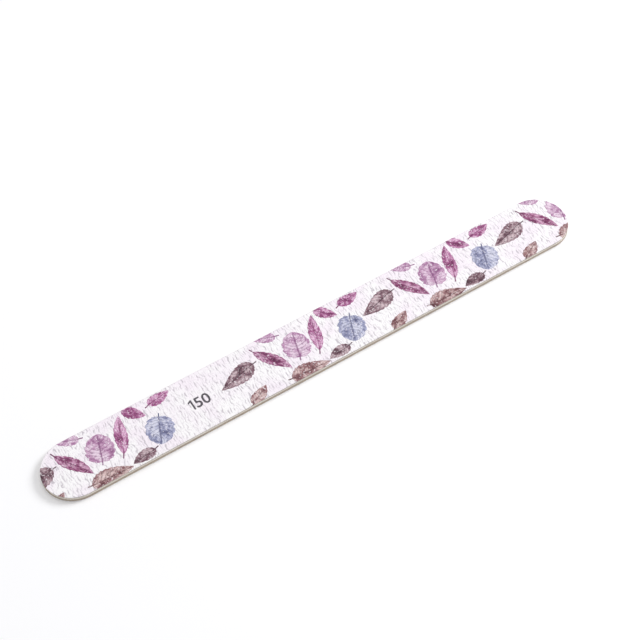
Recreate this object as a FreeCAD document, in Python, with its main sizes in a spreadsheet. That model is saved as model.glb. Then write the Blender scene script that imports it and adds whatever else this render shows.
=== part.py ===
import FreeCAD, Part
import math
import os

import Sketcher

# Emery board: a thin wooden splint faced on both sides with printed abrasive paper and die cut to a
# strip with round ends. The board lies flat, its upper face towards +Z and its length along +X.
# The origin is under the middle of the board, on its lower face. Lengths are in millimetres.

doc = FreeCAD.newDocument("emery_board")
sheet = doc.addObject("Spreadsheet::Sheet", "Sizes")

sizes = {
    # The strip that the die cuts
    "board_length": 178.0,
    "board_width": 19.0,
    # The layers, from the core outwards
    "core_thickness": 1.26,
    "glue_thickness": 0.05,
    "paper_thickness": 0.16,
    "make_coat_thickness": 0.03,
    "upper_grain_thickness": 0.08,
    "lower_grain_thickness": 0.06,
    "top_coat_thickness": 0.06,
    # The leaf print, which soaks into the top coat
    "ink_depth": 0.02,
    "print_repeat": 48.0,
    "broad_leaf_length": 12.6,
    "broad_leaf_width": 6.2,
    "slim_leaf_length": 13.0,
    "slim_leaf_width": 4.2,
    "round_leaf_length": 9.2,
    "round_leaf_width": 8.6,
    "small_leaf_length": 7.4,
    "small_leaf_width": 4.2,
    "stalk_length": 1.2,
    "stalk_width": 0.36,
    # The patch that the print leaves bare for the grit number
    "number_patch_length": 16.0,
    "number_patch_from_end": 49.0,
}

for row, (alias, size) in enumerate(sizes.items(), start=1):
    sheet.set(f"A{row}", alias)
    sheet.set(f"B{row}", str(size))
    sheet.setAlias(f"B{row}", alias)
doc.recompute()

# Every layer with the size that sets its thickness, from the lower face up to the upper one
layers_from_below = [
    ("lower_top_coat", "top_coat_thickness"),
    ("lower_grain_layer", "lower_grain_thickness"),
    ("lower_make_coat", "make_coat_thickness"),
    ("lower_backing_paper", "paper_thickness"),
    ("lower_glue_film", "glue_thickness"),
    ("wood_core", "core_thickness"),
    ("upper_glue_film", "glue_thickness"),
    ("upper_backing_paper", "paper_thickness"),
    ("upper_make_coat", "make_coat_thickness"),
    ("upper_grain_layer", "upper_grain_thickness"),
    ("upper_top_coat", "top_coat_thickness"),
]
printed_layers = ("lower_top_coat", "upper_top_coat")

# How each kind of leaf is drawn. A side runs from the stalk to the tip as one curve with two pulling
# points, the shoulder and the taper, given as shares of the leaf's length and of its width.
# The lean moves the tip sideways, as a share of the width.
leaf_form_shares = {
    "broad": {"shoulder": (0.10, 0.78), "taper": (0.54, 0.52), "lean": 0.16},
    "slim": {"shoulder": (0.26, 0.66), "taper": (0.64, 0.62), "lean": 0.42},
    "round": {"shoulder": (-0.16, 0.60), "taper": (0.86, 0.74), "lean": 0.06},
    "small": {"shoulder": (0.08, 0.70), "taper": (0.64, 0.58), "lean": -0.22},
}

# One repeat of the print: each leaf's ink and kind, the place of its middle as shares of the repeat and
# of the board's width, and the degrees by which it is turned.
leaf_place_shares = [
    ("mauve", "broad", 0.105, 0.09, 190),
    ("rose", "small", 0.150, -0.37, 38),
    ("plum", "slim", 0.330, 0.03, -66),
    ("orchid", "small", 0.375, 0.45, 166),
    ("orchid", "round", 0.530, 0.09, 70),
    ("rose", "broad", 0.505, -0.46, -8),
    ("magenta", "slim", 0.685, 0.10, 62),
    ("magenta", "small", 0.805, 0.38, -38),
    ("mauve", "small", 0.720, -0.415, 196),
    ("periwinkle", "round", 0.870, -0.12, -116),
    ("magenta", "small", 0.970, 0.42, 18),
]
inks = sorted({ink for ink, *place in leaf_place_shares})


def strip_outline(body):
    """The die's outline: two straight edges closed by half circles, centred on the origin."""
    radius = sheet.get("board_width") / 2
    reach = sheet.get("board_length") / 2 - radius
    plane = next(item for item in body.Origin.OriginFeatures if item.Role == "XY_Plane")
    sketch = body.newObject("Sketcher::SketchObject", body.Name + "_outline")
    sketch.AttachmentSupport = [(plane, "")]
    sketch.MapMode = "FlatFace"

    normal = FreeCAD.Vector(0, 0, 1)
    quarter = math.pi / 2
    right_end = Part.Circle(FreeCAD.Vector(reach, 0, 0), normal, radius)
    left_end = Part.Circle(FreeCAD.Vector(-reach, 0, 0), normal, radius)
    far_edge = sketch.addGeometry(
        Part.LineSegment(FreeCAD.Vector(-reach, radius, 0), FreeCAD.Vector(reach, radius, 0))
    )
    near_edge = sketch.addGeometry(
        Part.LineSegment(FreeCAD.Vector(reach, -radius, 0), FreeCAD.Vector(-reach, -radius, 0))
    )
    right = sketch.addGeometry(Part.ArcOfCircle(right_end, -quarter, quarter))
    left = sketch.addGeometry(Part.ArcOfCircle(left_end, quarter, 3 * quarter))

    start, end, centre = 1, 2, 3
    x_axis, origin = -1, -1
    sketch.addConstraint(
        [
            Sketcher.Constraint("Tangent", far_edge, end, right, end),
            Sketcher.Constraint("Tangent", right, start, near_edge, start),
            Sketcher.Constraint("Tangent", near_edge, end, left, end),
            Sketcher.Constraint("Tangent", left, start, far_edge, start),
            Sketcher.Constraint("Horizontal", far_edge),
            Sketcher.Constraint("PointOnObject", right, centre, x_axis),
            Sketcher.Constraint("Symmetric", left, centre, right, centre, origin, start),
        ]
    )
    end_radius = sketch.addConstraint(Sketcher.Constraint("Radius", right, radius))
    end_spacing = sketch.addConstraint(
        Sketcher.Constraint("DistanceX", left, centre, right, centre, 2 * reach)
    )
    sketch.renameConstraint(end_radius, "end_radius")
    sketch.renameConstraint(end_spacing, "end_spacing")
    sketch.setExpression("Constraints.end_radius", "Sizes.board_width / 2")
    sketch.setExpression("Constraints.end_spacing", "Sizes.board_length - Sizes.board_width")
    return sketch


def strip(label, thickness, below):
    """One layer of the board, lying on the layers whose thicknesses are listed in below."""
    body = doc.addObject("PartDesign::Body", label)
    body.Label = label
    pad = body.newObject("PartDesign::Pad", label + "_pad")
    pad.Profile = strip_outline(body)
    pad.setExpression("Length", f"Sizes.{thickness}")
    body.Tip = pad
    if below:
        body.setExpression("Placement.Base.z", " + ".join(f"Sizes.{item}" for item in below))
    return body


def leaf_film(kind):
    """A film of ink shaped as a leaf with its stalk, along +X with the middle of its length at the origin."""
    length = sheet.get(f"{kind}_leaf_length")
    width = sheet.get(f"{kind}_leaf_width")
    depth = sheet.get("ink_depth")
    form = leaf_form_shares[kind]
    lean = form["lean"] * width
    base = FreeCAD.Vector(-length / 2, 0, 0)
    tip = FreeCAD.Vector(length / 2, lean, 0)

    sides = []
    for side in (1, -1):
        shoulder_along, shoulder_out = form["shoulder"]
        taper_along, taper_out = form["taper"]
        curve = Part.BezierCurve()
        curve.setPoles(
            [
                base,
                base + FreeCAD.Vector(shoulder_along * length, side * shoulder_out * width, 0),
                base + FreeCAD.Vector(taper_along * length, side * taper_out * width + lean, 0),
                tip,
            ]
        )
        sides.append(curve.toShape())
    blade = Part.Face(Part.Wire(sides)).extrude(FreeCAD.Vector(0, 0, depth))

    stalk_length = sheet.get("stalk_length")
    stalk_width = sheet.get("stalk_width")
    # The stalk runs as far into the blade as it stands out of it
    stalk_corner = base - FreeCAD.Vector(stalk_length, stalk_width / 2, 0)
    stalk = Part.makeBox(2 * stalk_length, stalk_width, depth, stalk_corner)
    return blade.fuse(stalk).removeSplitter()


def printed_leaves():
    """One face's leaves, each with its ink, as films before the die cuts them at the board's edge."""
    board_length = sheet.get("board_length")
    board_width = sheet.get("board_width")
    repeat = sheet.get("print_repeat")
    left_end = -board_length / 2
    board = FreeCAD.BoundBox(left_end, -board_width / 2, 0, -left_end, board_width / 2, 0)

    # The print runs outwards from both sides of the bare patch, repeat after repeat
    patch_middle = left_end + sheet.get("number_patch_from_end")
    patch_reach = sheet.get("number_patch_length") / 2
    tiles = range(math.ceil(board_length / repeat))
    starts = [patch_middle + patch_reach + tile * repeat for tile in tiles]
    starts += [patch_middle - patch_reach - (tile + 1) * repeat for tile in tiles]

    films = {kind: leaf_film(kind) for kind in leaf_form_shares}
    printed = []
    for start in starts:
        for ink, kind, along_share, across_share, turn in leaf_place_shares:
            leaf = films[kind].copy()
            leaf.Placement = FreeCAD.Placement(
                FreeCAD.Vector(start + along_share * repeat, across_share * board_width, 0),
                FreeCAD.Rotation(FreeCAD.Vector(0, 0, 1), turn),
            )
            # A leaf takes only what the leaves printed before it have left bare
            earlier = [other for other_ink, other in printed if other.BoundBox.intersect(leaf.BoundBox)]
            if earlier:
                leaf = leaf.cut(earlier)
            if leaf.BoundBox.intersect(board):
                printed.append((ink, leaf))
    return printed


def boolean(kind, label, base, tool):
    """A Part boolean under its own label."""
    feature = doc.addObject(kind, label)
    feature.Label = label
    feature.Base = base
    feature.Tool = tool
    return feature


# The plain layers, and a blank for each layer that the print goes into
subparts = []
blanks = {}
below = []
for label, thickness in layers_from_below:
    if label in printed_layers:
        blanks[label] = strip(label + "_blank", thickness, below)
    else:
        subparts.append(strip(label, thickness, below))
    below = below + [thickness]
doc.recompute()

# Both faces carry the same print. The upper one ends flush with the upper face, and the lower one is
# turned over about the board's length and ends flush with the lower face.
board_thickness = sum(sheet.get(thickness) for label, thickness in layers_from_below)
ink_depth = sheet.get("ink_depth")
length_axis = FreeCAD.Vector(1, 0, 0)
print_places = {
    "upper": FreeCAD.Placement(
        FreeCAD.Vector(0, 0, board_thickness - ink_depth), FreeCAD.Rotation(length_axis, 0)
    ),
    "lower": FreeCAD.Placement(FreeCAD.Vector(0, 0, ink_depth), FreeCAD.Rotation(length_axis, 180)),
}

# The die cuts the print and the board alike, and each ink takes its place in the coat
leaves = printed_leaves()
for side, place in print_places.items():
    blank = blanks[side + "_top_coat"]
    leaf_sheets = []
    for ink in inks:
        leaf_sheet = doc.addObject("Part::Feature", f"{side}_{ink}_sheet")
        leaf_sheet.Shape = Part.makeCompound([leaf for leaf_ink, leaf in leaves if leaf_ink == ink])
        leaf_sheet.Placement = place
        leaf_sheets.append(leaf_sheet)
        subparts.append(boolean("Part::Common", f"{side}_{ink}_leaves", leaf_sheet, blank))
    whole_print = doc.addObject("Part::Compound", side + "_print")
    whole_print.Links = leaf_sheets
    subparts.append(boolean("Part::Cut", side + "_top_coat", blank, whole_print))
doc.recompute()

# Nothing is written unless every object is sound and each face's inks and coat fill their blank
volume_share_tolerance = 1e-6
for item in doc.Objects:
    if "Invalid" in item.State or "Error" in item.State:
        raise RuntimeError(f"{item.Label} failed: {item.State}")
for item in subparts:
    if item.Shape.isNull() or not item.Shape.isValid() or not item.Shape.Solids:
        raise RuntimeError(f"{item.Label} has no sound solid")
volumes = {item.Label: item.Shape.Volume for item in subparts}
for side in print_places:
    filled = volumes[side + "_top_coat"] + sum(volumes[f"{side}_{ink}_leaves"] for ink in inks)
    blank_volume = blanks[side + "_top_coat"].Shape.Volume
    if abs(filled / blank_volume - 1) > volume_share_tolerance:
        raise RuntimeError(f"{side}_top_coat and its inks don't fill their layer: {filled}, {blank_volume}")

os.makedirs("parts", exist_ok=True)
for item in subparts:
    item.Shape.exportStep(f"parts/{item.Label}.step")
    print(item.Label, len(item.Shape.Solids), "solids", round(item.Shape.Volume, 3), "mm3")
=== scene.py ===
import math
from collections import namedtuple

import bmesh
import bpy
from mathutils import Matrix, Vector, noise


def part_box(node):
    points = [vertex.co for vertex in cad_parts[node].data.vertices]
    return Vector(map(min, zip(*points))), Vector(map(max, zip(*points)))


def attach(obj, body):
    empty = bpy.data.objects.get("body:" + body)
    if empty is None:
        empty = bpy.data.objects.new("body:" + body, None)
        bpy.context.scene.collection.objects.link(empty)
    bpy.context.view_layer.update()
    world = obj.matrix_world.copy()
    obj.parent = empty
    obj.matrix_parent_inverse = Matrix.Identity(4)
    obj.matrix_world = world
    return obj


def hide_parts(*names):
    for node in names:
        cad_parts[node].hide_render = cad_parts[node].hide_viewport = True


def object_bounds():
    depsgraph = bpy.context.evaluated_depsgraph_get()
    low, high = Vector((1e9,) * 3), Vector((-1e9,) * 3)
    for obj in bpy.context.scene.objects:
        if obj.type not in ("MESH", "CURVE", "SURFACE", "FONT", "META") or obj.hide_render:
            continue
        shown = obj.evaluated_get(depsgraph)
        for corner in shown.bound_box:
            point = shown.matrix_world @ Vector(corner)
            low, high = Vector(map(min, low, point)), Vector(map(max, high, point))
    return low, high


# Emery board: a wooden splint with printed abrasive paper on both faces, lying flat on a pale floor.
# The sections follow the board from its core outwards. Lengths are in metres.
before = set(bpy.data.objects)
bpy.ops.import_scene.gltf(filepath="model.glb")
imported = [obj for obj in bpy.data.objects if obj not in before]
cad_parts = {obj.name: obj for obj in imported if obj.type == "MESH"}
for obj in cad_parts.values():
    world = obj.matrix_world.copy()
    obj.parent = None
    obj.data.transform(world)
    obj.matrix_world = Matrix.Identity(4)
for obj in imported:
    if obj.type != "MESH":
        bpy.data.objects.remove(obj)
frame_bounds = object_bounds()
millimetre = 0.001

# Wood core
# A sawn basswood splint that makes the board stiff. The die cuts it with the papers already glued on: it
# shears the upper part cleanly and tears the lower part, with long fibres and open pores. The lower part is
# painted darker, as shade along the bottom of the edge.
core_low, core_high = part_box("wood_core")
end_radius = core_high[1]
end_reach = core_high[0] - end_radius
edge_step = 0.3 * millimetre

# The heights, in millimetres, between which the clean cut gives way to the torn one
core_base = core_low[2] / millimetre
core_thickness = core_high[2] / millimetre - core_base
tear_start = core_base + 0.706 * core_thickness
tear_end = core_base + 0.27 * core_thickness

# How far the wood lies back from the die's line, in millimetres, and how deep its streaks and fibres are
clean_setback = 0.045
torn_setback = 0.08
clean_streak = 0.02
torn_streak = 0.045
fibre_depth = 0.015


def outward(place):
    """The direction in which the board's edge faces at a place on it."""
    along = max(-end_reach, min(end_reach, place.x))
    return Vector((place.x - along, place.y, 0)).normalized()


def cut_strip(name, low, high, rows, cut_depth):
    """A layer of the board whose edge lies back from the die's line by what cut_depth gives for a place."""
    turn = 2 * math.ceil(math.pi * end_radius / edge_step)
    shape = bmesh.new()
    ring = bmesh.ops.create_circle(shape, cap_ends=True, segments=turn, radius=end_radius)["verts"]
    bmesh.ops.rotate(shape, verts=ring, cent=(0, 0, 0), matrix=Matrix.Rotation(math.pi / turn, 3, "Z"))
    for vert in ring:
        vert.co.x += math.copysign(end_reach, vert.co.x)
        vert.co.z = low
    sides = [edge for edge in shape.edges if edge.verts[0].co.x * edge.verts[1].co.x < 0]
    bmesh.ops.subdivide_edges(shape, edges=sides, cuts=round(2 * end_reach / edge_step))

    face = shape.faces[:]
    for row in range(rows):
        grown = bmesh.ops.extrude_face_region(shape, geom=face, use_keep_orig=row == 0)["geom"]
        face = [item for item in grown if isinstance(item, bmesh.types.BMFace)]
        lifted = [item for item in grown if isinstance(item, bmesh.types.BMVert)]
        bmesh.ops.translate(shape, verts=lifted, vec=(0, 0, (high - low) / rows))
    for vert in shape.verts:
        vert.co -= outward(vert.co) * cut_depth(vert.co / millimetre) * millimetre
    bmesh.ops.recalc_face_normals(shape, faces=shape.faces)
    return finished_piece(name, shape)


def finished_piece(name, shape):
    """Makes a smooth-shaded object of a bmesh, and lets it ride on the board's one body."""
    mesh = bpy.data.meshes.new(name)
    shape.to_mesh(mesh)
    shape.free()
    mesh.shade_smooth()
    piece = bpy.data.objects.new(name, mesh)
    bpy.context.collection.objects.link(piece)
    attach(piece, "root")
    return piece


def torn_fibres(place):
    """How far the wood lies back at a place: streaks along the grain, and pits where it is cut across."""
    streak = noise.noise((0.22 * place.x, 3.1 * place.y, 7.0 * place.z))
    fibre = noise.noise((0.9 * place.x, 6.0 * place.y + 40, 16.0 * place.z))
    # The share of the lower, torn band at a height, which sets how far the wood lies back
    lower_band = min(1.0, max(0.0, (tear_start - place.z) / (tear_start - tear_end)))
    setback = clean_setback + (torn_setback - clean_setback) * lower_band
    streak_depth = clean_streak + (torn_streak - clean_streak) * lower_band
    return setback + streak_depth * streak + fibre_depth * fibre


def srgb(red, green, blue):
    """A colour as a paint chart gives it, turned into the linear values that a shader takes."""
    linear = []
    for level in (red, green, blue):
        share = level / 255
        linear.append(share / 12.92 if share <= 0.04045 else ((share + 0.055) / 1.055) ** 2.4)
    return (*linear, 1)


class Finish:
    """A material whose colour and relief are made from patterns measured in millimetres on the piece."""

    def __init__(self, name, roughness):
        self.material = bpy.data.materials.new(name)
        self.material.use_nodes = True
        self.tree = self.material.node_tree
        self.shader = self.tree.nodes["Principled BSDF"]
        self.shader.inputs["Roughness"].default_value = roughness
        self.shader.inputs["Specular IOR Level"].default_value = 0.3
        metres = self.tree.nodes.new("ShaderNodeTexCoord").outputs["Object"]
        self.place = self.vector("MULTIPLY", metres, (1 / millimetre,) * 3)

    def feed(self, socket, value):
        """Links another node's output to a socket, or sets the socket to a plain value."""
        if isinstance(value, bpy.types.NodeSocket):
            self.tree.links.new(value, socket)
        else:
            socket.default_value = value

    def vector(self, operation, first, second):
        node = self.tree.nodes.new("ShaderNodeVectorMath")
        node.operation = operation
        self.feed(node.inputs[0], first)
        self.feed(node.inputs[1], second)
        return node.outputs["Vector"]

    def combine(self, operation, first, second):
        node = self.tree.nodes.new("ShaderNodeMath")
        node.operation = operation
        self.feed(node.inputs[0], first)
        self.feed(node.inputs[1], second)
        return node.outputs["Value"]

    def times(self, value, factor):
        return self.combine("MULTIPLY", value, factor)

    def plus(self, first, second):
        return self.combine("ADD", first, second)

    def split(self, vector):
        """The three parts of a vector."""
        node = self.tree.nodes.new("ShaderNodeSeparateXYZ")
        self.feed(node.inputs[0], vector)
        return node.outputs

    def cloud(self, per_millimetre, detail=2.0, shift=(0, 0, 0), place=None):
        """A noise pattern with its own pitch along each axis."""
        stretched = self.vector("MULTIPLY", self.place if place is None else place, per_millimetre)
        node = self.tree.nodes.new("ShaderNodeTexNoise")
        node.inputs["Scale"].default_value = 1
        node.inputs["Detail"].default_value = detail
        self.feed(node.inputs["Vector"], self.vector("ADD", stretched, shift))
        return node.outputs["Fac"]

    def step(self, value, start, end):
        """Turns a value into a share that goes smoothly from 0 at start to 1 at end."""
        node = self.tree.nodes.new("ShaderNodeMapRange")
        node.interpolation_type = "SMOOTHSTEP"
        self.feed(node.inputs["Value"], value)
        node.inputs["From Min"].default_value = start
        node.inputs["From Max"].default_value = end
        return node.outputs["Result"]

    def mix(self, share, first, second):
        node = self.tree.nodes.new("ShaderNodeMix")
        node.data_type = "RGBA"
        # The sockets for colours come after those for numbers and for vectors
        factor, first_colour, second_colour = node.inputs[0], node.inputs[6], node.inputs[7]
        self.feed(factor, share)
        self.feed(first_colour, first)
        self.feed(second_colour, second)
        return node.outputs[2]

    def tint(self, colour, towards, share, strength):
        """Moves a colour towards another where a share says so, at most by the strength."""
        return self.mix(self.times(share, strength), colour, towards)

    def carried(self, name):
        """A value that the piece's mesh carries from vertex to vertex."""
        node = self.tree.nodes.new("ShaderNodeAttribute")
        node.attribute_name = name
        return node

    def paint(self, colour, height=None, depth=0.0):
        """Gives the material its colour, and a fine relief of that depth in millimetres."""
        self.feed(self.shader.inputs["Base Color"], colour)
        if height is not None:
            bump = self.tree.nodes.new("ShaderNodeBump")
            bump.inputs["Distance"].default_value = depth * millimetre
            self.feed(bump.inputs["Height"], height)
            self.feed(self.shader.inputs["Normal"], bump.outputs["Normal"])
        return self.material


def basswood():
    finish = Finish("basswood", roughness=0.8)
    streak = finish.cloud((0.12, 3.0, 5.0), detail=4)
    fibre = finish.cloud((0.5, 7.0, 14.0), detail=3, shift=(5, 9, 2))
    pore = finish.step(finish.cloud((0.3, 9.0, 9.0), shift=(1, 7, 3)), 0.62, 0.72)
    # The streaks carry the line of the tear up and down, by this much in all
    sway = 0.5
    height = finish.plus(finish.split(finish.place)[2], finish.times(streak, sway))
    lower_band = finish.step(height, tear_start + sway / 2, tear_end + sway / 2)
    colour = finish.mix(finish.step(streak, 0.3, 0.7), srgb(232, 223, 210), srgb(250, 246, 238))
    # Painted shade: the lower, torn part of the edge is darker, as if in shadow along the bottom.
    colour = finish.tint(colour, srgb(166, 147, 132), lower_band, 0.8)
    colour = finish.tint(colour, srgb(186, 166, 146), finish.step(fibre, 0.55, 0.75), 0.7)
    colour = finish.tint(colour, srgb(126, 106, 94), pore, 0.6)
    return finish.paint(colour, fibre, depth=0.03)


wood_core = cut_strip("splint", core_low[2], core_high[2], rows=10, cut_depth=torn_fibres)
wood_core.data.materials.append(basswood())
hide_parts("wood_core")

# Glue films
# Thin dried adhesive between the splint and each paper. It shows only as a line along the edge.
# The CAD films have the right shape, so they stay and take this material.


def dried_glue():
    finish = Finish("dried_glue", roughness=0.55)
    soak = finish.cloud((0.5, 2.0, 4.0), detail=3)
    colour = finish.mix(finish.step(soak, 0.35, 0.65), srgb(168, 148, 120), srgb(205, 188, 158))
    return finish.paint(colour, soak, depth=0.01)


def refinish(node, material):
    """Gives a CAD node that keeps its shape a better material."""
    node_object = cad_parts[node]
    node_object.data.materials.clear()
    node_object.data.materials.append(material)


glue = dried_glue()
for side in ("upper", "lower"):
    refinish(side + "_glue_film", glue)

# Backing papers
# Heavy off-white paper that carries the abrasive. The die shears it, so that its edge is fuzzy with
# short fibres and lies a little back from the die's line in places.

# How far the paper lies back, in millimetres, and how much its tufts and waves add to that
paper_setback = 0.03
tuft_depth = 0.018
wave_depth = 0.012


def sheared_paper(place):
    """How far the paper lies back at a place."""
    tuft = noise.noise((2.3 * place.x, 2.3 * place.y, 9.0 * place.z))
    wave = noise.noise((0.35 * place.x, 0.35 * place.y, 2.0 * place.z + 17))
    return paper_setback + tuft_depth * tuft + wave_depth * wave


def backing_paper():
    finish = Finish("backing_paper", roughness=0.9)
    pulp = finish.cloud((1.6, 1.6, 5.0), detail=4)
    fleck = finish.step(finish.cloud((4.0, 4.0, 9.0), shift=(3, 1, 8)), 0.64, 0.74)
    colour = finish.mix(finish.step(pulp, 0.3, 0.7), srgb(206, 202, 197), srgb(236, 234, 231))
    colour = finish.tint(colour, srgb(150, 140, 134), fleck, 0.5)
    return finish.paint(colour, pulp, depth=0.02)


paper = backing_paper()
for side in ("upper", "lower"):
    low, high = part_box(side + "_backing_paper")
    sheet = cut_strip(side + "_paper", low[2], high[2], rows=3, cut_depth=sheared_paper)
    sheet.data.materials.append(paper)
    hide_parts(side + "_backing_paper")

# Make coats
# The resin that the grain is bedded in, cured to a thin pale layer on each paper.
# The CAD layers have the right shape, so they stay and take this material.


def cured_resin():
    finish = Finish("cured_resin", roughness=0.5)
    flow = finish.cloud((0.8, 0.8, 3.0), detail=3)
    colour = finish.mix(finish.step(flow, 0.35, 0.65), srgb(214, 206, 190), srgb(230, 225, 214))
    return finish.paint(colour, flow, depth=0.01)


resin = cured_resin()
for side in ("upper", "lower"):
    refinish(side + "_make_coat", resin)

# Grain layers
# White aluminium oxide grain, shaken onto the wet resin and left standing in it, coarser on the upper face.
# The CAD layers keep their shape: the grain shows as a broken, glittering line along the edge.


def oxide_grain(name, per_millimetre):
    finish = Finish(name, roughness=0.6)
    crystal = finish.tree.nodes.new("ShaderNodeTexVoronoi")
    crystal.inputs["Scale"].default_value = per_millimetre
    finish.feed(crystal.inputs["Vector"], finish.place)
    facet = crystal.outputs["Distance"]
    colour = finish.mix(finish.step(facet, 0.1, 0.6), srgb(246, 245, 243), srgb(190, 186, 182))
    return finish.paint(colour, facet, depth=0.05)


grains_per_millimetre = {"upper": 9.0, "lower": 11.0}
for side, per_millimetre in grains_per_millimetre.items():
    refinish(side + "_grain_layer", oxide_grain(side + "_oxide_grain", per_millimetre))

# Top coats
# The white, dry coat over the grain, which keeps filings from clogging it. The backing paper is creped,
# so the coat has fine irregular crinkles that run across the board.
board_thickness = frame_bounds[1][2] - frame_bounds[0][2]
coat_low, coat_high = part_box("upper_top_coat")
film_lift = 0.012 * millimetre
crinkle_depth = 0.034 * millimetre
rim_width = 0.25 * millimetre
rim_drop = 0.025 * millimetre
face_seeds = {"upper": 0.0, "lower": 50.0}

# The crinkles: spacing and half-width, in millimetres, of the main folds and of the finer ones between them
main_folds = (1.15, 0.26)
fine_folds = (0.7, 0.2)
fine_share = 0.7


def folds(x, y, spacing, width, seed):
    """How deep a place lies in a row of folds across the board, which wander and fade in and out."""
    wander = 0.8 * noise.noise((0.35 * x, 0.4 * y, seed)) + 0.45 * noise.noise((1.1 * x, 0.85 * y, seed + 3))
    beat = (x / spacing + wander) % 1
    line = max(0.0, 1 - abs(beat - 0.5) * spacing / width)
    fade = 0.42 + 1.5 * noise.noise((0.9 * x, 0.6 * y, seed + 7))
    return line * min(1.0, max(0.0, fade))


def crinkle(place, seed):
    """How deep the coat is creased at a place, from 0 on the ridges to 1 in the deepest folds."""
    x = place.x / millimetre
    y = place.y / millimetre
    return min(1.0, folds(x, y, *main_folds, seed) + fine_share * folds(x, y, *fine_folds, seed + 13))


def rim_distance(place):
    """How far a place on a face is from the board's edge."""
    along = max(-end_reach, min(end_reach, place.x))
    return max(0.0, end_radius - math.hypot(place.x - along, place.y))


def coat_height(place, seed):
    """How high the upper coat's surface is at a place, with its edge pressed flat and down by the die."""
    pressed = max(0.0, 1 - rim_distance(place) / rim_width) ** 2
    crease = crinkle_depth * crinkle(place, seed) * (1 - pressed)
    return coat_high[2] - film_lift - crease - rim_drop * pressed


def turned_over(shape):
    """Turns a piece made for the upper face over about the board's length, onto the lower face."""
    middle = (0, 0, board_thickness / 2)
    bmesh.ops.rotate(shape, verts=shape.verts, cent=middle, matrix=Matrix.Rotation(math.pi, 3, "X"))


coat_columns = 1320
coat_rows = 68
half_run = end_reach + end_radius * math.pi / 2
weld_distance = 1e-7


def crinkled_coat(side):
    """The coat of one face: a grid bent to the board's outline, creased, and closed below."""
    seed = face_seeds[side]
    shape = bmesh.new()
    crease = shape.verts.layers.float.new("crease")
    bmesh.ops.create_grid(shape, x_segments=coat_columns, y_segments=coat_rows, size=1)
    for vert in shape.verts:
        run = abs(vert.co.x) * half_run
        angle = max(0.0, run - end_reach) / end_radius
        along = min(run, end_reach) + end_radius * math.sin(angle)
        place = Vector((math.copysign(along, vert.co.x), vert.co.y * end_radius * math.cos(angle), 0))
        vert[crease] = crinkle(place, seed)
        place.z = coat_height(place, seed)
        vert.co = place
    bmesh.ops.remove_doubles(shape, verts=shape.verts, dist=weld_distance)

    rim = [edge for edge in shape.edges if edge.is_boundary]
    skirt = bmesh.ops.extrude_edge_only(shape, edges=rim)["geom"]
    for vert in [item for item in skirt if isinstance(item, bmesh.types.BMVert)]:
        vert.co.z = coat_low[2]
    bmesh.ops.contextual_create(shape, geom=[item for item in skirt if isinstance(item, bmesh.types.BMEdge)])
    bmesh.ops.recalc_face_normals(shape, faces=shape.faces)
    if side == "lower":
        turned_over(shape)
    return finished_piece(side + "_coat", shape)


def white_coat(name, grain_per_millimetre):
    finish = Finish(name, roughness=0.85)
    crease = finish.carried("crease").outputs["Fac"]
    tone = finish.cloud((0.14, 0.14, 0.14), detail=3)
    grain = finish.cloud((grain_per_millimetre,) * 3, detail=2, shift=(4, 2, 6))
    mottle = finish.step(finish.cloud((3.0, 2.0, 2.0), detail=3, shift=(3, 5, 2)), 0.46, 0.68)
    speck = finish.step(finish.cloud((5.0, 5.0, 5.0), detail=1, shift=(8, 3, 1)), 0.70, 0.78)
    colour = finish.mix(finish.step(tone, 0.35, 0.65), srgb(248, 240, 247), srgb(251, 250, 250))
    colour = finish.tint(colour, srgb(214, 202, 214), mottle, 0.4)
    # Painted shade: the coat is greyer the deeper it lies in a crease.
    colour = finish.tint(colour, srgb(186, 179, 187), finish.step(crease, 0.0, 0.9), 0.8)
    colour = finish.tint(colour, srgb(166, 150, 168), speck, 0.5)
    return finish.paint(colour, grain, depth=0.04)


for side, per_millimetre in grains_per_millimetre.items():
    coat = crinkled_coat(side)
    coat.data.materials.append(white_coat(side + "_white_coat", per_millimetre))
    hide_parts(side + "_top_coat")

# Leaf print
# Loose leaves in six inks, printed on the coat like watercolour. The ink follows the crinkles and misses
# some of the folds, and the die cuts through the leaves that reach the edge.
print_repeat = 48 * millimetre
number_middle = frame_bounds[0][0] + 49 * millimetre
number_reach = 8 * millimetre
stalk_length = 1.2 * millimetre
stalk_width = 0.36 * millimetre
stalk_lift = 0.003 * millimetre
leaf_step = 0.2 * millimetre
cut_tolerance = 1e-8

# Each kind of leaf: its length and width, then the two points that pull its sides out, as shares of them,
# how far its tip leans sideways, as a share of the width, and the number and depth of its teeth.
LeafKind = namedtuple("LeafKind", "length width shoulder taper lean teeth tooth_depth")
leaf_kinds = {
    "broad": LeafKind(12.6 * millimetre, 6.2 * millimetre, (0.10, 0.78), (0.54, 0.52), 0.16, 9, 0.10),
    "slim": LeafKind(13.0 * millimetre, 4.2 * millimetre, (0.26, 0.66), (0.64, 0.62), 0.42, 7, 0.12),
    "round": LeafKind(9.2 * millimetre, 8.6 * millimetre, (-0.16, 0.60), (0.86, 0.74), 0.06, 6, 0.13),
    "small": LeafKind(7.4 * millimetre, 4.2 * millimetre, (0.08, 0.70), (0.64, 0.58), -0.22, 6, 0.14),
}

# One repeat of the print: each leaf's ink and kind, the place of its middle as shares of the repeat and
# of the board's width, and the degrees by which it is turned.
leaf_places = [
    ("mauve", "broad", 0.105, 0.09, 190),
    ("rose", "small", 0.150, -0.37, 38),
    ("plum", "slim", 0.330, 0.03, -66),
    ("orchid", "small", 0.375, 0.45, 166),
    ("orchid", "round", 0.530, 0.09, 70),
    ("rose", "broad", 0.505, -0.46, -8),
    ("magenta", "slim", 0.685, 0.10, 62),
    ("magenta", "small", 0.805, 0.38, -38),
    ("mauve", "small", 0.720, -0.415, 196),
    ("periwinkle", "round", 0.870, -0.12, -116),
    ("magenta", "small", 0.970, 0.42, 18),
]


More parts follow.
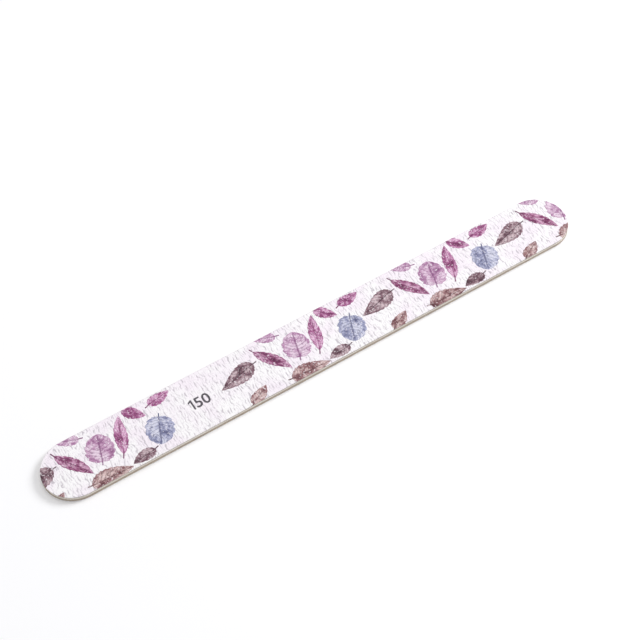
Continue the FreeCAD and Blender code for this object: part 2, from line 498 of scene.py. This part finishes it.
def leaf_blade(kind):
    """A flat leaf along +X whose vertices carry where they are on it: along, across and 0."""
    length, width, shoulder, taper, lean, teeth, tooth_depth = leaf_kinds[kind]
    shape = bmesh.new()
    on_leaf = shape.verts.layers.float_vector.new("on_leaf")
    columns = round(length / leaf_step)
    bmesh.ops.create_grid(shape, x_segments=columns, y_segments=2 * round(width / leaf_step / 2), size=1)
    base = Vector((-length / 2, 0, 0))
    tip = Vector((length / 2, lean * width, 0))
    for vert in shape.verts:
        along = (vert.co.x + 1) / 2
        across = vert.co.y
        rest = 1 - along
        side = math.copysign(1, across)
        out = base + Vector((shoulder[0] * length, side * shoulder[1] * width, 0))
        back = base + Vector((taper[0] * length, (side * taper[1] + lean) * width, 0))
        margin = rest**3 * base + 3 * rest**2 * along * out + 3 * rest * along**2 * back + along**3 * tip
        midrib = base + Vector((along * length, (3 - 2 * along) * along**2 * tip.y, 0))
        notch = 1 - tooth_depth * (1 - teeth * along % 1) ** 2
        vert.co = midrib.lerp(margin, abs(across) * notch)
        vert[on_leaf] = (along, across, 0)
    bmesh.ops.remove_doubles(shape, verts=shape.verts, dist=weld_distance)

    stalk = bmesh.ops.create_grid(shape, x_segments=round(2 * stalk_length / leaf_step), y_segments=2, size=1)
    for vert in stalk["verts"]:
        vert[on_leaf] = (0, 0, 0)
        vert.co = base + Vector((vert.co.x * stalk_length, vert.co.y * stalk_width / 2, stalk_lift))
    return shape


def trim_to_board(shape):
    """Cuts a leaf off along the board's edge, as the die does."""
    cuts = [Vector((0, 1, 0)), Vector((0, -1, 0))]
    spread = max(abs(vert.co.x) for vert in shape.verts)
    if spread > end_reach:
        side = math.copysign(1, sum(vert.co.x for vert in shape.verts))
        end_cuts = 36
        angles = [math.pi * (step / end_cuts - 0.5) for step in range(end_cuts + 1)]
        cuts += [Vector((side * math.cos(angle), math.sin(angle), 0)) for angle in angles]
    for normal in cuts:
        centre = Vector((math.copysign(end_reach, normal.x) if normal.x else 0, 0, 0))
        bmesh.ops.bisect_plane(
            shape,
            geom=shape.verts[:] + shape.edges[:] + shape.faces[:],
            dist=cut_tolerance,
            plane_co=centre + normal * end_radius,
            plane_no=normal,
            clear_outer=True,
        )


def ink_film(shape, seed):
    """Lays a flat shape on the coat and closes it below, so that it is a film let into the coat."""
    crease = shape.verts.layers.float.new("crease")
    for vert in shape.verts:
        vert[crease] = crinkle(vert.co, seed)
        vert.co.z += coat_height(vert.co, seed) + film_lift
    rim = [edge for edge in shape.edges if edge.is_boundary]
    skirt = bmesh.ops.extrude_edge_only(shape, edges=rim)["geom"]
    for vert in [item for item in skirt if isinstance(item, bmesh.types.BMVert)]:
        vert.co.z = coat_low[2] + film_lift / 2
    edges = [item for item in skirt if isinstance(item, bmesh.types.BMEdge)]
    bmesh.ops.holes_fill(shape, edges=edges, sides=0)
    bmesh.ops.recalc_face_normals(shape, faces=shape.faces)


def printed_leaves(side, ink):
    """All the leaves of one ink on one face, as one piece."""
    board_length = 2 * (end_reach + end_radius)
    tiles = range(math.ceil(board_length / print_repeat))
    starts = [number_middle + number_reach + tile * print_repeat for tile in tiles]
    starts += [number_middle - number_reach - (tile + 1) * print_repeat for tile in tiles]
    whole = bmesh.new()
    whole.verts.layers.float_vector.new("on_leaf")
    whole.verts.layers.float.new("crease")
    for tile, start in enumerate(starts):
        for number, (leaf_ink, kind, along, across, turn) in enumerate(leaf_places):
            if leaf_ink != ink:
                continue
            middle = Vector((start + along * print_repeat, across * 2 * end_radius, 0))
            leaf = leaf_blade(kind)
            leaf.transform(Matrix.Translation(middle) @ Matrix.Rotation(math.radians(turn), 4, "Z"))
            trim_to_board(leaf)
            if leaf.faces:
                # Each leaf has its own part of the wash pattern
                variety = 7.3 * number + 3.1 * tile + face_seeds[side]
                on_leaf = leaf.verts.layers.float_vector["on_leaf"]
                for vert in leaf.verts:
                    vert[on_leaf].z = variety
                ink_film(leaf, face_seeds[side])
                mesh = bpy.data.meshes.new("one_leaf")
                leaf.to_mesh(mesh)
                whole.from_mesh(mesh)
                bpy.data.meshes.remove(mesh)
            leaf.free()
    if side == "lower":
        turned_over(whole)
    return finished_piece(f"{side}_{ink}_ink", whole)


def watercolour(name, pale, full, deep):
    """Ink that pools at the rim and along the veins and thins out between them, speckled by the grain."""
    finish = Finish(name, roughness=0.8)
    place = finish.carried("on_leaf").outputs["Vector"]
    crease = finish.carried("crease").outputs["Fac"]
    along = finish.split(place)[0]
    out = finish.combine("ABSOLUTE", finish.split(place)[1], 0.0)

    zone = finish.cloud((3.4, 1.1, 1.0), detail=2, place=place)
    wash = finish.cloud((0.5, 0.5, 0.5), detail=4)
    bloom = finish.cloud((1.3, 1.3, 1.3), detail=3, shift=(6, 1, 4))

    ribs = finish.combine("SUBTRACT", finish.times(along, 9.0), finish.times(out, 2.6))
    ripple = finish.combine("PINGPONG", finish.plus(ribs, finish.times(bloom, 0.7)), 0.5)
    vein = finish.step(ripple, 0.16, 0.02)
    midrib = finish.step(out, 0.10, 0.03)
    rim = finish.step(finish.plus(out, finish.times(bloom, 0.2)), 0.86, 1.08)

    ink = finish.plus(finish.times(zone, 0.6), finish.times(wash, 0.4))
    colour = finish.mix(finish.step(ink, 0.40, 0.56), pale, full)
    colour = finish.mix(finish.step(ink, 0.50, 0.68), colour, deep)
    colour = finish.tint(colour, deep, finish.step(bloom, 0.50, 0.68), 0.6)
    colour = finish.tint(colour, full, rim, 0.5)
    colour = finish.tint(colour, deep, vein, 0.65)
    colour = finish.tint(colour, deep, midrib, 0.8)

    bare = finish.cloud((1.9, 1.9, 1.9), detail=4, shift=(2, 8, 5))
    missed = finish.step(finish.plus(bare, finish.times(crease, 0.14)), 0.58, 0.74)
    thin = finish.mix(0.6, pale, srgb(246, 240, 246))
    colour = finish.tint(colour, thin, missed, 0.85)
    grain = finish.cloud((9.0, 9.0, 9.0), detail=2, shift=(4, 2, 6))
    return finish.paint(colour, grain, depth=0.04)


inks = {
    "plum": watercolour("plum_ink", srgb(214, 166, 196), srgb(150, 80, 122), srgb(94, 40, 74)),
    "magenta": watercolour("magenta_ink", srgb(224, 178, 210), srgb(170, 98, 146), srgb(112, 48, 90)),
    "orchid": watercolour("orchid_ink", srgb(230, 208, 225), srgb(192, 147, 182), srgb(134, 84, 126)),
    "mauve": watercolour("mauve_ink", srgb(204, 182, 188), srgb(134, 100, 112), srgb(76, 51, 62)),
    "rose": watercolour("rose_ink", srgb(218, 192, 190), srgb(153, 110, 114), srgb(93, 58, 63)),
    "periwinkle": watercolour("periwinkle_ink", srgb(212, 213, 230), srgb(160, 163, 194), srgb(92, 93, 126)),
}
for side in ("upper", "lower"):
    for ink, material in inks.items():
        leaves = printed_leaves(side, ink)
        leaves.data.materials.append(material)
        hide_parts(f"{side}_{ink}_leaves")

# Grit numbers
# Each face's grit in plain numerals, printed in dark grey ink in the patch that the leaves leave bare.
# The ink spreads a little, so the strokes are fuller than the font's, and it follows the coat's crinkles.
number_height = 3.6 * millimetre
numeral_gap = 0.5 * millimetre
ink_spread = 0.07 * millimetre
round_numerals = {"upper": "50", "lower": "80"}

# How tall the font's numerals are, as a share of its size
font_numeral_share = 0.73

# The outline of the 1 that both numbers start with, as shares of their height, from the foot of its stem
one_shares = [(0, 0), (0.14, 0), (0.14, 1), (0.03, 1), (-0.19, 0.85), (-0.19, 0.70), (0, 0.80)]


def extent(shape, axis):
    """The least and the greatest place of a shape's vertices along an axis."""
    places = [vert.co[axis] for vert in shape.verts]
    return min(places), max(places)


def grit_number(side):
    curve = bpy.data.curves.new("numerals", "FONT")
    curve.body = round_numerals[side]
    curve.size = number_height / font_numeral_share
    curve.offset = ink_spread
    curve.resolution_u = 6
    text = bpy.data.objects.new("numerals", curve)
    bpy.context.collection.objects.link(text)
    mesh = bpy.data.meshes.new_from_object(text)
    shape = bmesh.new()
    shape.from_mesh(mesh)
    bpy.data.objects.remove(text)
    bpy.data.curves.remove(curve)
    bpy.data.meshes.remove(mesh)
    bmesh.ops.remove_doubles(shape, verts=shape.verts, dist=weld_distance)

    foot, head = extent(shape, 1)
    stem = extent(shape, 0)[0] - numeral_gap - max(along for along, up in one_shares) * number_height
    corners = [(stem + along * number_height, foot + up * (head - foot), 0) for along, up in one_shares]
    shape.faces.new([shape.verts.new(corner) for corner in corners])
    left, right = extent(shape, 0)
    centred = (number_middle - (left + right) / 2, -(foot + head) / 2, 0)
    bmesh.ops.translate(shape, verts=shape.verts, vec=centred)
    # Cut along the lines of the coat's own grid, so that the film bends where the coat does
    for axis, pitch in ((0, 2 * half_run / coat_columns), (1, 2 * end_radius / coat_rows)):
        low, high = extent(shape, axis)
        normal = Vector((1 - axis, axis, 0))
        for line in range(math.ceil(low / pitch), math.floor(high / pitch) + 1):
            bmesh.ops.bisect_plane(
                shape,
                geom=shape.verts[:] + shape.edges[:] + shape.faces[:],
                dist=cut_tolerance,
                plane_co=normal * line * pitch,
                plane_no=normal,
            )
    ink_film(shape, face_seeds[side])
    if side == "lower":
        turned_over(shape)
    return finished_piece(side + "_grit_number", shape)


def number_ink():
    finish = Finish("number_ink", roughness=0.75)
    worn = finish.cloud((3.0, 3.0, 3.0), detail=3)
    grain = finish.cloud((9.0, 9.0, 9.0), detail=2, shift=(4, 2, 6))
    colour = finish.mix(finish.step(worn, 0.35, 0.6), srgb(66, 62, 68), srgb(92, 88, 94))
    colour = finish.tint(colour, srgb(196, 192, 198), finish.step(grain, 0.6, 0.7), 0.5)
    return finish.paint(colour, grain, depth=0.04)


# The record has no slot for grey ink, so the numbers take that of the mauve ink, the nearest to it
grey_ink = number_ink()
for side in round_numerals:
    number = grit_number(side)
    number.data.materials.append(grey_ink)

# Floor, light and camera
# A plain pale studio floor under soft light, from above and from the end away from the number.
# The camera sees the board at the angle of the photograph.
floor_size = 4.0


def pale_floor():
    finish = Finish("pale_floor", roughness=0.9)
    tone = finish.cloud((0.01, 0.01, 0.01), detail=1)
    colour = finish.mix(tone, srgb(250, 250, 251), srgb(252, 252, 253))
    return finish.paint(colour)


floor_shape = bmesh.new()
bmesh.ops.create_grid(floor_shape, x_segments=1, y_segments=1, size=floor_size / 2)
floor_mesh = bpy.data.meshes.new("floor")
floor_shape.to_mesh(floor_mesh)
floor_shape.free()
floor = bpy.data.objects.new("floor", floor_mesh)
bpy.context.collection.objects.link(floor)
floor.data.materials.append(pale_floor())


def soft_light(name, size, power, place):
    lamp = bpy.data.lights.new(name, "AREA")
    lamp.shape = "DISK"
    lamp.size = size
    lamp.energy = power
    light = bpy.data.objects.new(name, lamp)
    light.location = place
    light.rotation_euler = (-Vector(place)).to_track_quat("-Z", "Y").to_euler()
    bpy.context.collection.objects.link(light)


soft_light("end_light", size=0.6, power=10.0, place=(1.05, -0.09, 0.75))
soft_light("top_light", size=0.9, power=2.75, place=(0.0, 0.1, 0.9))
world = bpy.data.worlds.new("studio")
world.use_nodes = True
world.node_tree.nodes["Background"].inputs["Color"].default_value = srgb(250, 250, 252)
world.node_tree.nodes["Background"].inputs["Strength"].default_value = 0.5
bpy.context.scene.world = world
bpy.context.scene.view_settings.view_transform = "Standard"

view_target = Vector((3.7, 5.4, 2.0)) * millimetre
view_distance = 0.4088
view_azimuth = math.radians(-29.67)
view_elevation = math.radians(53.51)
view_roll = math.radians(-3.07)
view_lens = 78.03
away = Vector(
    (
        math.cos(view_elevation) * math.sin(view_azimuth),
        -math.cos(view_elevation) * math.cos(view_azimuth),
        math.sin(view_elevation),
    )
)
level = (-away).to_track_quat("-Z", "Y").to_matrix()
lens = bpy.data.cameras.new("camera")
lens.lens = view_lens
lens.clip_start = 0.01
camera = bpy.data.objects.new("camera", lens)
camera.matrix_world = Matrix.Translation(view_target + away * view_distance) @ (
    level @ Matrix.Rotation(view_roll, 3, "Z")
).to_4x4()
bpy.context.collection.objects.link(camera)
bpy.context.scene.camera = camera
